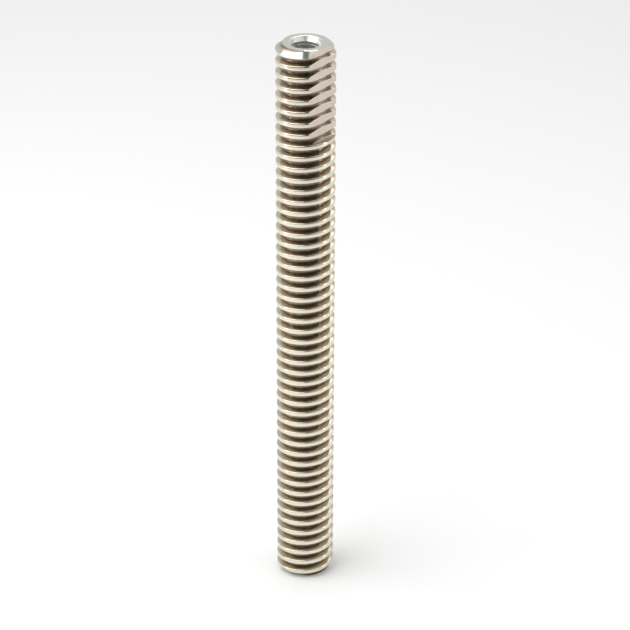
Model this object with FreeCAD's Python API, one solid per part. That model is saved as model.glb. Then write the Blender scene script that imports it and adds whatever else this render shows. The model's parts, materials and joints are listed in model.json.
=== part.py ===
"""Threaded spindle: a trapezoidal-thread bar cut to length, with a tapped upper end and a milled flat.

The bar stands on its lower end, with its axis on Z and the origin at the centre of the lower end face.
Azimuths are measured round Z from +X, anticlockwise seen from above.
"""
import FreeCAD, Part
import math
import os

# Driving dimensions, in millimetres and degrees.
LENGTH = 200.0
MAJOR_DIAMETER = 20.0
PITCH = 4.0
CREST_CLEARANCE = 0.25
FLANK_HALF_ANGLE = 15.0
END_CHAMFER = 1.9

# The crest's centre line passes this height at this azimuth, and every pitch above and below it.
CREST_HEIGHT = 198.7
CREST_AZIMUTH = -90.0

# The flat is milled down from the upper end, on the side that this azimuth points to.
FLAT_AZIMUTH = -45.0
FLAT_DISTANCE = 7.8
FLAT_LENGTH = 32.2

# The hole is drilled to the tapping size for an M10 x 1.5 thread and countersunk at 90 degrees.
TAP_DRILL_DIAMETER = 8.5
TAPPED_DEPTH = 25.0
COUNTERSINK_DIAMETER = 11.2
DRILL_POINT_ANGLE = 118.0

# Sizes that follow from those above.
MAJOR_RADIUS = MAJOR_DIAMETER / 2
ROOT_RADIUS = MAJOR_RADIUS - PITCH / 2 - CREST_CLEARANCE
PITCH_RADIUS = MAJOR_RADIUS - PITCH / 4
FACE_RADIUS = MAJOR_RADIUS - END_CHAMFER
TAP_DRILL_RADIUS = TAP_DRILL_DIAMETER / 2
COUNTERSINK_RADIUS = COUNTERSINK_DIAMETER / 2
COUNTERSINK_DEPTH = COUNTERSINK_RADIUS - TAP_DRILL_RADIUS

# A cutter runs this far past the stock that it cuts.
CLEARANCE = 1.0

# Each turn of the thread is made of this many lengths, so that no face goes far round the bar.
LENGTHS_PER_TURN = 8

Z_AXIS = FreeCAD.Vector(0, 0, 1)
ORIGIN = FreeCAD.Vector(0, 0, 0)


def turned(outline):
    """The solid of revolution about Z of a closed outline of (radius, height) points."""
    points = [FreeCAD.Vector(radius, 0, height) for radius, height in outline]
    face = Part.Face(Part.makePolygon(points + points[:1]))
    return face.revolve(ORIGIN, Z_AXIS, 360)


def chamfered_bar():
    """The plain bar, as thick as the thread's crests, with both of its ends chamfered."""
    return turned([
        (0, 0),
        (FACE_RADIUS, 0),
        (MAJOR_RADIUS, END_CHAMFER),
        (MAJOR_RADIUS, LENGTH - END_CHAMFER),
        (FACE_RADIUS, LENGTH),
        (0, LENGTH),
    ])


def groove_half_width(radius):
    """Half of the groove's width along the axis, at a radius."""
    return PITCH / 4 + (radius - PITCH_RADIUS) * math.tan(math.radians(FLANK_HALF_ANGLE))


def helix(radius, turns):
    """A right-hand helix of one pitch, starting on +X at height 0, as a wire of short lengths."""
    edges = []
    for number in range(turns * LENGTHS_PER_TURN):
        length = Part.makeHelix(PITCH, PITCH / LENGTHS_PER_TURN, radius, 0)
        length.rotate(ORIGIN, Z_AXIS, 360 * number / LENGTHS_PER_TURN)
        length.translate(Z_AXIS * (PITCH * number / LENGTHS_PER_TURN))
        edges += length.Edges
    return Part.Wire(edges)


def thread_groove():
    """The right-hand helical groove between the thread's ridges, from below the bar to above it."""
    rise_to_x_axis = -CREST_AZIMUTH / 360 * PITCH
    middle = CREST_HEIGHT + rise_to_x_axis + PITCH / 2
    start = middle % PITCH - 2 * PITCH
    turns = math.ceil((LENGTH - start) / PITCH) + 2
    outer = MAJOR_RADIUS + CLEARANCE
    profile = Part.makePolygon([
        FreeCAD.Vector(ROOT_RADIUS, 0, -groove_half_width(ROOT_RADIUS)),
        FreeCAD.Vector(outer, 0, -groove_half_width(outer)),
        FreeCAD.Vector(outer, 0, groove_half_width(outer)),
        FreeCAD.Vector(ROOT_RADIUS, 0, groove_half_width(ROOT_RADIUS)),
        FreeCAD.Vector(ROOT_RADIUS, 0, -groove_half_width(ROOT_RADIUS)),
    ])
    groove = helix(ROOT_RADIUS, turns).makePipeShell([profile], True, True)
    groove.translate(FreeCAD.Vector(0, 0, start))
    return groove


def tapping_hole():
    """The countersunk blind hole in the upper end, ending in the drill's point."""
    floor = LENGTH - TAPPED_DEPTH
    point_depth = TAP_DRILL_RADIUS / math.tan(math.radians(DRILL_POINT_ANGLE / 2))
    return turned([
        (0, floor - point_depth),
        (TAP_DRILL_RADIUS, floor),
        (TAP_DRILL_RADIUS, LENGTH - COUNTERSINK_DEPTH),
        (COUNTERSINK_RADIUS, LENGTH),
        (COUNTERSINK_RADIUS + CLEARANCE, LENGTH + CLEARANCE),
        (0, LENGTH + CLEARANCE),
    ])


def flat_cutter():
    """The stock that is milled away to leave the flat."""
    block = Part.makeBox(
        MAJOR_RADIUS,
        2 * MAJOR_RADIUS,
        FLAT_LENGTH + CLEARANCE,
        FreeCAD.Vector(FLAT_DISTANCE, -MAJOR_RADIUS, LENGTH - FLAT_LENGTH),
    )
    block.rotate(ORIGIN, Z_AXIS, FLAT_AZIMUTH)
    return block


def threaded_spindle():
    """The finished spindle, in one piece."""
    threaded = chamfered_bar().cut(thread_groove())
    milled = threaded.cut(flat_cutter())
    tapped = milled.cut(tapping_hole())
    solids = tapped.Solids
    if len(solids) != 1 or not solids[0].isValid():
        raise ValueError("the spindle is not one valid solid")
    return solids[0]


def main():
    os.makedirs("parts", exist_ok=True)
    spindle = threaded_spindle()
    spindle.exportStep("parts/threaded_spindle.step")
    box = spindle.optimalBoundingBox()
    print("faces", len(spindle.Faces), "volume", round(spindle.Volume, 1))
    print("size", round(box.XLength, 3), round(box.YLength, 3), round(box.ZLength, 3))


main()
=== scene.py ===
"""The threaded spindle's visual model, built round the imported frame.

Solids are made in millimetres, in the frame's own axes, and scaled to metres when they are finished.
Azimuths are measured round Z from +X, anticlockwise seen from above.
"""
import json
import math

import bmesh
import bpy
from mathutils import Matrix, Vector


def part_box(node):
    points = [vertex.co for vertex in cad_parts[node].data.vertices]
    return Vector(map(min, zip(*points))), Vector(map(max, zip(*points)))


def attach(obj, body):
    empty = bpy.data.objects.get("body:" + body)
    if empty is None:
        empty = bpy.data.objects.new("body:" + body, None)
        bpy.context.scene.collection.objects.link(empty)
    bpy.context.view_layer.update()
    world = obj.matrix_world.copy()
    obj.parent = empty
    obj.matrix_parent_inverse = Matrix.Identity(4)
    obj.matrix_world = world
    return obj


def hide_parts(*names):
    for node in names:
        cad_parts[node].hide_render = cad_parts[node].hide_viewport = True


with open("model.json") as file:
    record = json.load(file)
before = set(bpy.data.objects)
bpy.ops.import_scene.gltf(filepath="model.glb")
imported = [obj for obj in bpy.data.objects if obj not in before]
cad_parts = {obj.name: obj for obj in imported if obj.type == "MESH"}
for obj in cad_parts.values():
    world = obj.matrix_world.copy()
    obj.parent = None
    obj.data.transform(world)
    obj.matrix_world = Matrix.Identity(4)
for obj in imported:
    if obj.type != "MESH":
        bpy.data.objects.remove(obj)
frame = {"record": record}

MM = 0.001
NODE = "threaded_spindle"
LOW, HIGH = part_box(NODE)
MOUNTS = {mount["name"]: mount for mount in frame["record"]["mounts"]}
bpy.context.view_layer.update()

# ---- Sizes, in millimetres and degrees ----
LENGTH = (HIGH.z - LOW.z) / MM
MAJOR_RADIUS = MOUNTS["spindle_thread"]["dims"]["r_mm"]
PITCH = 4.0
THREAD_DEPTH = 2.25
ROOT_RADIUS = MAJOR_RADIUS - THREAD_DEPTH
FLANK_HALF_ANGLE = 15.0
CREST_ROUNDING = 0.28
ROOT_ROUNDING = 0.3
END_CHAMFER = 1.9
EDGE_BREAK = 0.06

# The crest's centre line passes this height at this azimuth, and every pitch above and below it.
CREST_HEIGHT = 198.7
CREST_AZIMUTH = -90.0

# Thread rolling leaves a fine groove along the middle of the crest.
SEAM_WIDTH = 0.2
SEAM_DEPTH = 0.007

# The flat is milled down from the upper end, on the side that this azimuth points to.
FLAT_AZIMUTH = -45.0
FLAT_DISTANCE = 7.8
FLAT_LENGTH = 32.2

DRILL_RADIUS = MOUNTS["tapped_end"]["dims"]["r_mm"]
DRILLED_DEPTH = 25.0
DRILL_POINT_ANGLE = 118.0
COUNTERSINK_RADIUS = 5.6
TAP_RADIUS = 5.0
TAP_PITCH = 1.5
TAP_DEPTH = 21.0
TAP_HALF_ANGLE = 30.0
TAP_LEAD = 2.5
# Half of the tap's crest is this share of its pitch.
TAP_CREST_SHARE = 1 / 16
# The tap's core is this much thinner than the drilled hole, so that it cuts only with its teeth.
TAP_CORE_GAP = 0.25

# ---- Fineness of the meshes ----
THREAD_STEPS = 96
TAP_STEPS = 64
LATHE_STEPS = 192
ARC_STEPS = 3
# In radians, so that no edge of a turned face lies right on an edge of a thread.
LATHE_START = 0.0137
# In millimetres. Points nearer than this are one point.
MERGE_DISTANCE = 0.0005
# In degrees. Edges that turn further than this are shaded as sharp.
SHARP_ANGLE = 28.0

# A cutter runs this far past the metal that it cuts.
CLEARANCE = 1.0


def tangent(degrees):
    return math.tan(math.radians(degrees))


# ---- Mesh tools ----
def new_object(name, mesh):
    piece = bpy.data.objects.new(name, mesh)
    bpy.context.scene.collection.objects.link(piece)
    return piece


def mesh_solid(name, points, faces, material):
    """A closed solid from its points and faces, with its normals turned outwards."""
    mesh = bpy.data.meshes.new(name)
    mesh.from_pydata(points, [], faces)
    mesh.materials.append(material)
    shape = bmesh.new()
    shape.from_mesh(mesh)
    bmesh.ops.recalc_face_normals(shape, faces=shape.faces)
    shape.to_mesh(mesh)
    shape.free()
    return new_object(name, mesh)


def lathe(name, outline, material):
    """A solid of revolution about Z. The outline's (radius, height) points start and end on the axis."""
    steps = LATHE_STEPS
    rings = outline[1:-1]
    points = [(0, 0, outline[0][1])]
    for radius, height in rings:
        for step in range(steps):
            angle = 2 * math.pi * step / steps + LATHE_START
            points.append((radius * math.cos(angle), radius * math.sin(angle), height))
    points.append((0, 0, outline[-1][1]))
    top = len(points) - 1
    final = len(rings) - 1

    def at(ring, step):
        return 1 + ring * steps + step % steps

    faces = [(0, at(0, step + 1), at(0, step)) for step in range(steps)]
    for ring in range(final):
        for step in range(steps):
            faces.append((at(ring, step), at(ring, step + 1), at(ring + 1, step + 1), at(ring + 1, step)))
    faces += [(at(final, step), at(final, step + 1), top) for step in range(steps)]
    return mesh_solid(name, points, faces, material)


def screw(name, profile, pitch, start, turns, steps, material):
    """A right-hand threaded rod. The profile's (radius, offset) points span one pitch from groove to groove.

    The thread starts at azimuth 0 and at the height start, and both ends are closed with a cone to the axis.
    """
    per_step = len(profile)
    last_step = turns * steps

    def on_helix(step, radius, offset):
        angle = 2 * math.pi * step / steps
        return (radius * math.cos(angle), radius * math.sin(angle), start + pitch * step / steps + offset)

    points = [on_helix(step, *corner) for step in range(last_step + 1) for corner in profile]
    # The last turn's upper edge has no next turn to share points with.
    points += [on_helix(step, *profile[0]) for step in range(last_step + 1, last_step + steps + 1)]
    bottom = len(points)
    points.append((0, 0, start - pitch))
    top = len(points)
    points.append((0, 0, start + pitch * (turns + 2)))

    def at(step, index):
        if index == per_step:
            step, index = step + steps, 0
        if step <= last_step:
            return step * per_step + index
        return (last_step + 1) * per_step + step - last_step - 1

    faces = []
    for step in range(last_step):
        for index in range(per_step):
            near = at(step, index), at(step + 1, index)
            far = at(step + 1, index + 1), at(step, index + 1)
            faces.append(near + far)
    for step in range(steps):
        faces.append((bottom, at(step + 1, 0), at(step, 0)))
        faces.append((top, at(last_step + step, 0), at(last_step + step + 1, 0)))
    faces.append([bottom] + [at(0, index) for index in range(per_step + 1)])
    faces.append([top] + [at(last_step, index) for index in range(per_step, -1, -1)])
    return mesh_solid(name, points, faces, material)


def combine(piece, tool, operation):
    """Applies a boolean between a piece and a tool, and deletes the tool.

    Cut faces take the tool's material.
    """
    modifier = piece.modifiers.new("combine", "BOOLEAN")
    modifier.operation = operation
    modifier.object = tool
    modifier.solver = "EXACT"
    modifier.material_mode = "TRANSFER"
    result = bpy.data.meshes.new_from_object(piece.evaluated_get(bpy.context.evaluated_depsgraph_get()))
    piece.modifiers.clear()
    shape = bmesh.new()
    shape.from_mesh(result)
    bmesh.ops.remove_doubles(shape, verts=shape.verts, dist=MERGE_DISTANCE)
    bmesh.ops.dissolve_degenerate(shape, edges=shape.edges, dist=MERGE_DISTANCE)
    shape.to_mesh(result)
    shape.free()
    piece.data = result
    bpy.data.objects.remove(tool)


def arc_corner(before, corner, after, radius):
    """The points of a corner rounded to a radius, between its two neighbours. Radius 0 leaves it sharp."""
    if not radius:
        return [corner]
    here = Vector(corner)
    back = Vector(before) - here
    ahead = Vector(after) - here
    half = back.angle(ahead) / 2
    centre = here + (back.normalized() + ahead.normalized()).normalized() * radius / math.sin(half)
    first = here + back.normalized() * radius / math.tan(half)
    last = here + ahead.normalized() * radius / math.tan(half)
    sweep = (first - centre).angle_signed(last - centre)
    spoke = first - centre
    points = []
    for step in range(ARC_STEPS + 1):
        turn = -sweep * step / ARC_STEPS
        points.append((
            centre.x + spoke.x * math.cos(turn) - spoke.y * math.sin(turn),
            centre.y + spoke.x * math.sin(turn) + spoke.y * math.cos(turn),
        ))
    return points


def rounded(corners):
    """A polyline's points, from (radius, offset, rounding) corners. The two ends aren't rounded."""
    points = [corners[0][:2]]
    for before, corner, after in zip(corners, corners[1:], corners[2:]):
        points += arc_corner(before[:2], corner[:2], after[:2], corner[2])
    return points


# ---- The spindle ----
def thread_profile():
    """One pitch of the spindle's thread, from the middle of one groove to just before the next."""
    pitch_radius = MAJOR_RADIUS - PITCH / 4
    groove_foot = PITCH / 4 - (pitch_radius - ROOT_RADIUS) * tangent(FLANK_HALF_ANGLE)
    groove_mouth = PITCH / 4 + (MAJOR_RADIUS - pitch_radius) * tangent(FLANK_HALF_ANGLE)
    middle = PITCH / 2
    return rounded([
        (ROOT_RADIUS, 0, 0),
        (ROOT_RADIUS, groove_foot, ROOT_ROUNDING),
        (MAJOR_RADIUS, groove_mouth, CREST_ROUNDING),
        (MAJOR_RADIUS, middle - SEAM_WIDTH / 2, 0),
        (MAJOR_RADIUS - SEAM_DEPTH, middle, 0),
        (MAJOR_RADIUS, middle + SEAM_WIDTH / 2, 0),
        (MAJOR_RADIUS, PITCH - groove_mouth, CREST_ROUNDING),
        (ROOT_RADIUS, PITCH - groove_foot, ROOT_ROUNDING),
        (ROOT_RADIUS, PITCH, 0),
    ])


def threaded_rod(material):
    """The thread, from below the bar's lower end to above its upper end."""
    groove_height = CREST_HEIGHT + PITCH / 2 - CREST_AZIMUTH / 360 * PITCH
    start = groove_height % PITCH - 2 * PITCH
    turns = math.ceil((LENGTH - start) / PITCH) + 1
    return screw("rod", thread_profile(), PITCH, start, turns, THREAD_STEPS, material)


def bar_envelope(material):
    """The bar between its two chamfered ends, just wider than the thread."""
    outer = MAJOR_RADIUS + CLEARANCE
    face = MAJOR_RADIUS - END_CHAMFER
    taper = END_CHAMFER + CLEARANCE
    return lathe("envelope", [
        (0, 0),
        (face - EDGE_BREAK, 0),
        (face + EDGE_BREAK / 2, EDGE_BREAK / 2),
        (outer, taper),
        (outer, LENGTH - taper),
        (face + EDGE_BREAK / 2, LENGTH - EDGE_BREAK / 2),
        (face - EDGE_BREAK, LENGTH),
        (0, LENGTH),
    ], material)


def drill(material):
    """The tapping drill."""
    floor = LENGTH - DRILLED_DEPTH
    point = DRILL_RADIUS / tangent(DRILL_POINT_ANGLE / 2)
    return lathe("drill", [
        (0, floor - point),
        (DRILL_RADIUS, floor),
        (DRILL_RADIUS, LENGTH + CLEARANCE),
        (0, LENGTH + CLEARANCE),
    ], material)


def countersink(material):
    """The 90 degree countersink at the hole's mouth."""
    return lathe("countersink", [
        (0, LENGTH - COUNTERSINK_RADIUS),
        (COUNTERSINK_RADIUS - EDGE_BREAK / 2, LENGTH - EDGE_BREAK / 2),
        (COUNTERSINK_RADIUS + EDGE_BREAK, LENGTH),
        (COUNTERSINK_RADIUS + EDGE_BREAK, LENGTH + CLEARANCE),
        (0, LENGTH + CLEARANCE),
    ], material)


def tap(material):
    """The tap that cuts the hole's thread, with its tapered lead."""
    core = DRILL_RADIUS - TAP_CORE_GAP
    crest = TAP_PITCH * TAP_CREST_SHARE
    foot = crest + (TAP_RADIUS - core) * tangent(TAP_HALF_ANGLE)
    middle = TAP_PITCH / 2
    profile = [
        (core, 0),
        (core, middle - foot),
        (TAP_RADIUS, middle - crest),
        (TAP_RADIUS, middle + crest),
        (core, middle + foot),
    ]
    low = LENGTH - TAP_DEPTH
    turns = math.ceil((TAP_DEPTH + CLEARANCE) / TAP_PITCH) + 2
    cutter = screw("tap", profile, TAP_PITCH, low - 2 * TAP_PITCH, turns, TAP_STEPS, material)
    reach = LENGTH + CLEARANCE
    lead = lathe("lead", [
        (0, low),
        (core, low),
        (TAP_RADIUS + CLEARANCE / 2, low + TAP_LEAD),
        (TAP_RADIUS + CLEARANCE / 2, reach),
        (0, reach),
    ], material)
    combine(cutter, lead, "INTERSECT")
    return cutter


def mill(material):
    """The block of metal that the milling cutter takes away."""
    low, high = LENGTH - FLAT_LENGTH, LENGTH + CLEARANCE
    side = MAJOR_RADIUS + CLEARANCE
    points = [(x, y, z) for x in (FLAT_DISTANCE, side) for y in (-side, side) for z in (low, high)]
    faces = [(0, 1, 3, 2), (4, 6, 7, 5), (0, 4, 5, 1), (2, 3, 7, 6), (0, 2, 6, 4), (1, 5, 7, 3)]
    block = mesh_solid("mill", points, faces, material)
    block.data.transform(Matrix.Rotation(math.radians(FLAT_AZIMUTH), 4, "Z"))
    return block


# ---- Materials ----
STEEL_TINT = (0.75, 0.71, 0.59, 1.0)
# The flank's and root's tints are painted shade, darker and browner deeper in the groove.
FLANK_SHADE_TINT = (0.50, 0.43, 0.325, 1.0)
ROOT_SHADE_TINT = (0.24, 0.19, 0.145, 1.0)
TURNED_TINT = (0.62, 0.63, 0.56, 1.0)
COUNTERSUNK_TINT = (0.64, 0.64, 0.59, 1.0)
MILLED_TINTS = (0.56, 0.50, 0.43, 1.0), (0.64, 0.57, 0.49, 1.0)
BORED_TINT = (0.86, 0.85, 0.83, 1.0)
PAPER_TINT = (0.86, 0.86, 0.86, 1.0)
SHELL_TINTS = (0.01, 0.01, 0.01, 1.0), (0.3, 0.3, 0.3, 1.0)
SKY_TINT = (1.0, 1.0, 1.0, 1.0)

# In millimetres: how far the edge of the root's painted shade wanders up and down the flank, and how far
# below the crest the flank's colour has turned into the crest's.
SHADE_EDGE_REACH = 0.35
CREST_BLEND = 0.08
# At the crest's rounded corner, the flank has this share of the crest's colour.
SHOULDER_SHARE = 0.35
# In millimetres, from one of the lathe tool's rings to the next.
RING_SPACING = 0.12
# Noise between these two values is spread over the whole of a range.
NOISE_LOW = 0.3
NOISE_HIGH = 0.7


class Shader:
    """A material under construction, with short calls for the nodes that the finishes share."""

    def __init__(self, name):
        self.material = bpy.data.materials.new(name)
        self.material.use_nodes = True
        self.nodes = self.material.node_tree.nodes
        self.links = self.material.node_tree.links
        self.surface = self.nodes["Principled BSDF"]
        self.place = self.nodes.new("ShaderNodeTexCoord").outputs["Object"]

    def feed(self, node, inputs):
        """Sets each input, given by its name or number, to a value, or links it where that is a socket."""
        for key, value in inputs.items():
            if isinstance(value, bpy.types.NodeSocket):
                self.links.new(value, node.inputs[key])
            else:
                node.inputs[key].default_value = value

    def math(self, operation, *values):
        made = self.nodes.new("ShaderNodeMath")
        made.operation = operation
        self.feed(made, dict(enumerate(values)))
        return made.outputs[0]

    def ramp(self, value, low, high, out_low, out_high):
        made = self.nodes.new("ShaderNodeMapRange")
        self.feed(made, {"Value": value, "From Min": low, "From Max": high,
                         "To Min": out_low, "To Max": out_high})
        return made.outputs[0]

    def noise(self, scale, detail, out_low, out_high):
        """Mottling between two values. A larger scale gives smaller blotches."""
        made = self.nodes.new("ShaderNodeTexNoise")
        self.feed(made, {"Vector": self.place, "Scale": scale, "Detail": detail})
        return self.ramp(made.outputs["Fac"], NOISE_LOW, NOISE_HIGH, out_low, out_high)

    def mix(self, share, tint_a, tint_b):
        made = self.nodes.new("ShaderNodeMix")
        made.data_type = "RGBA"
        self.feed(made, {0: share, 6: tint_a, 7: tint_b})
        return made.outputs[2]

    def axes(self):
        made = self.nodes.new("ShaderNodeSeparateXYZ")
        self.feed(made, {"Vector": self.place})
        return made.outputs

    def radius(self):
        """The distance from the spindle's axis, in metres."""
        x, y, _ = self.axes()
        squares = self.math("ADD", self.math("MULTIPLY", x, x), self.math("MULTIPLY", y, y))
        return self.math("SQRT", squares)

    def metal(self, tint, roughness):
        self.feed(self.surface, {"Base Color": tint, "Roughness": roughness, "Metallic": 1.0})
        return self.material

    def matt(self, tint, roughness, specular):
        self.feed(self.surface, {"Base Color": tint, "Roughness": roughness, "Specular IOR Level": specular})
        return self.material


def rolled_steel():
    """The thread: bright burnished crests, and painted shade that darkens the flanks to a brown, duller
    root.
    """
    shader = Shader("rolled_steel")
    root = ROOT_RADIUS * MM
    shoulder = (MAJOR_RADIUS - CREST_ROUNDING) * MM
    middle = (root + shoulder) / 2
    # Painted shade in the groove: noise makes the edge of the dark root wander up and down the flank.
    shade_edge_noise = shader.noise(700.0, 5.0, -SHADE_EDGE_REACH * MM, SHADE_EDGE_REACH * MM)
    shade_edge_radius = shader.math("ADD", shader.radius(), shade_edge_noise)
    lower = shader.mix(shader.ramp(shade_edge_radius, root, middle, 0.0, 1.0), ROOT_SHADE_TINT, FLANK_SHADE_TINT)
    upper_share = shader.ramp(shade_edge_radius, middle, shoulder, 0.0, SHOULDER_SHARE)
    flank = shader.mix(upper_share, lower, STEEL_TINT)
    crest_share = shader.ramp(shader.radius(), shoulder, (MAJOR_RADIUS - CREST_BLEND) * MM, 0.0, 1.0)
    base = shader.mix(crest_share, flank, STEEL_TINT)
    rough = shader.ramp(shader.radius(), root, shoulder, 0.24, 0.17)
    return shader.metal(base, rough)


def turned_steel():
    """Faces cut on a lathe: the ends and their chamfers, with fine rings round the axis."""
    shader = Shader("turned_steel")
    phase = shader.math("MULTIPLY", shader.radius(), 2 * math.pi / (RING_SPACING * MM))
    rough = shader.ramp(shader.math("SINE", phase), -1.0, 1.0, 0.12, 0.18)
    return shader.metal(TURNED_TINT, rough)


def countersunk_steel():
    """The countersink: duller than the turned faces."""
    shader = Shader("countersunk_steel")
    return shader.metal(COUNTERSUNK_TINT, shader.noise(1800.0, 3.0, 0.22, 0.34))


def milled_steel():
    """The flat: matt, with a fine grain."""
    shader = Shader("milled_steel")
    return shader.metal(shader.mix(shader.noise(1500.0, 6.0, 0.0, 1.0), *MILLED_TINTS), 0.42)


def bored_steel():
    """The inside of the drilled and tapped hole."""
    shader = Shader("bored_steel")
    return shader.metal(BORED_TINT, shader.noise(1200.0, 3.0, 0.25, 0.4))


# ---- Assembly ----
def threaded_spindle():
    """The finished spindle, in metres: the threaded rod, cut as it would be on the bench."""
    spindle = threaded_rod(rolled_steel())
    combine(spindle, bar_envelope(turned_steel()), "INTERSECT")
    combine(spindle, mill(milled_steel()), "DIFFERENCE")
    bored = bored_steel()
    combine(spindle, tap(bored), "DIFFERENCE")
    combine(spindle, drill(bored), "DIFFERENCE")
    combine(spindle, countersink(countersunk_steel()), "DIFFERENCE")
    spindle.name = spindle.data.name = "spindle"
    spindle.data.transform(Matrix.Scale(MM, 4))
    spindle.data.shade_smooth()
    spindle.data.set_sharp_from_angle(angle=math.radians(SHARP_ANGLE))
    return spindle


spindle = threaded_spindle()
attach(spindle, "root")
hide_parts(NODE)


# ---- Stage, light and camera, in metres and degrees ----
FLOOR_REACH = 4.0

# The black shell stands in for the dark room behind the camera. These are its (radius, height) points,
# and it fades to grey between two heights.
SHELL_OUTLINE = [(0.6, 0.002), (0.75, 0.35), (1.0, 0.7), (1.0, 1.1), (0.6, 1.4), (0.05, 1.5)]
SHELL_HALF_ANGLE = 80.0
SHELL_STEPS = 24
SHELL_FADE = (0.7, 1.1)

# Each light's name, location, target, width, height and radiance.
SOFTBOXES = (
    ("left_softbox", (-0.38, -0.16, 0.62), (-0.06, -0.16, 0.1), 0.8, 0.66, 2.5),
    ("right_softbox", (0.36, -0.04, 0.66), (0.04, -0.04, 0.1), 0.7, 0.64, 0.85),
    ("back_softbox", (0.0, 0.85, 0.95), (0.0, 0.6, 0.0), 1.2, 0.5, 2.0),
    ("right_strip", (0.5, -0.14, 0.16), (0.0, 0.0, 0.1), 0.07, 0.28, 6.0),
    ("left_strip", (-0.5, -0.1, 0.16), (0.0, 0.0, 0.1), 0.06, 0.28, 4.0),
)

# The sky's strength falls from the first value to the second as the direction's Z rises between these.
SKY_FADE = (0.4, 0.8)
SKY_STRENGTH = (0.8, 0.25)

CAMERA_LENS_MM = 154.74
CAMERA_LOCATION = (0.00347, -0.8228, 0.52467)
CAMERA_DIP = 27.286
CAMERA_TURN = 0.013
CAMERA_ROLL = 0.173


def sheet(name, rows, material):
    """A surface through rows of points, each row as long as the next."""
    count = len(rows[0])
    mesh = bpy.data.meshes.new(name)
    faces = []
    for row in range(len(rows) - 1):
        for column in range(count - 1):
            first = row * count + column
            faces.append((first, first + 1, first + count + 1, first + count))
    mesh.from_pydata([point for row in rows for point in row], [], faces)
    mesh.materials.append(material)
    mesh.shade_smooth()
    return new_object(name, mesh)


def paper_floor():
    """A wide sheet of white paper that the spindle stands on."""
    reach = FLOOR_REACH
    paper = Shader("paper_white").matt(PAPER_TINT, 0.9, 0.1)
    return sheet("floor", [[(-reach, y, 0), (reach, y, 0)] for y in (-reach, reach)], paper)


def shell_black():
    shader = Shader("flag_black")
    height = shader.axes()["Z"]
    return shader.matt(shader.mix(shader.ramp(height, *SHELL_FADE, 0.0, 1.0), *SHELL_TINTS), 1.0, 0.0)


def dark_front():
    """A black shell on the camera's side, which only the spindle's reflections see."""
    rows = []
    for step in range(SHELL_STEPS + 1):
        angle = math.radians(SHELL_HALF_ANGLE * (2 * step / SHELL_STEPS - 1))
        across, along = math.sin(angle), -math.cos(angle)
        rows.append([(radius * across, radius * along, height) for radius, height in SHELL_OUTLINE])
    shell = sheet("dark_front", rows, shell_black())
    shell.visible_camera = False
    shell.visible_shadow = False
    shell.visible_diffuse = False
    return shell


def softbox(name, location, target, width, height, radiance):
    """A rectangular area light with an even glow, aimed at a target. Its width lies level."""
    light = bpy.data.lights.new(name, "AREA")
    light.shape = "RECTANGLE"
    light.size = width
    light.size_y = height
    light.energy = radiance * math.pi * width * height
    lamp = new_object(name, light)
    lamp.location = location
    lamp.rotation_euler = (Vector(location) - Vector(target)).to_track_quat("Z", "Y").to_euler()


def studio_world():
    """Pale light all round, brighter near the horizon than overhead."""
    world = bpy.data.worlds.new("studio")
    world.use_nodes = True
    nodes, links = world.node_tree.nodes, world.node_tree.links
    background = nodes["Background"]
    background.inputs["Color"].default_value = SKY_TINT
    direction = nodes.new("ShaderNodeSeparateXYZ")
    links.new(nodes.new("ShaderNodeTexCoord").outputs["Generated"], direction.inputs["Vector"])
    fade = nodes.new("ShaderNodeMapRange")
    fade.inputs["From Min"].default_value, fade.inputs["From Max"].default_value = SKY_FADE
    fade.inputs["To Min"].default_value, fade.inputs["To Max"].default_value = SKY_STRENGTH
    links.new(direction.outputs["Z"], fade.inputs["Value"])
    links.new(fade.outputs["Result"], background.inputs["Strength"])
    return world


def studio():
    paper_floor()
    dark_front()
    for settings in SOFTBOXES:
        softbox(*settings)
    bpy.context.scene.world = studio_world()
    bpy.context.scene.view_settings.view_transform = "Standard"


def camera():
    """The camera, in front of the spindle and looking down at it."""
    lens = bpy.data.cameras.new("camera")
    lens.lens = CAMERA_LENS_MM
    lens.sensor_width = 36.0
    lens.clip_start = 0.05
    lens.clip_end = 50.0
    seen = new_object("camera", lens)
    turn = Matrix.Rotation(math.radians(CAMERA_TURN), 4, "Z")
    tilt = Matrix.Rotation(math.radians(90 - CAMERA_DIP), 4, "X")
    roll = Matrix.Rotation(math.radians(CAMERA_ROLL), 4, "Z")
    seen.matrix_world = Matrix.Translation(CAMERA_LOCATION) @ turn @ tilt @ roll
    bpy.context.scene.camera = seen


studio()
camera()
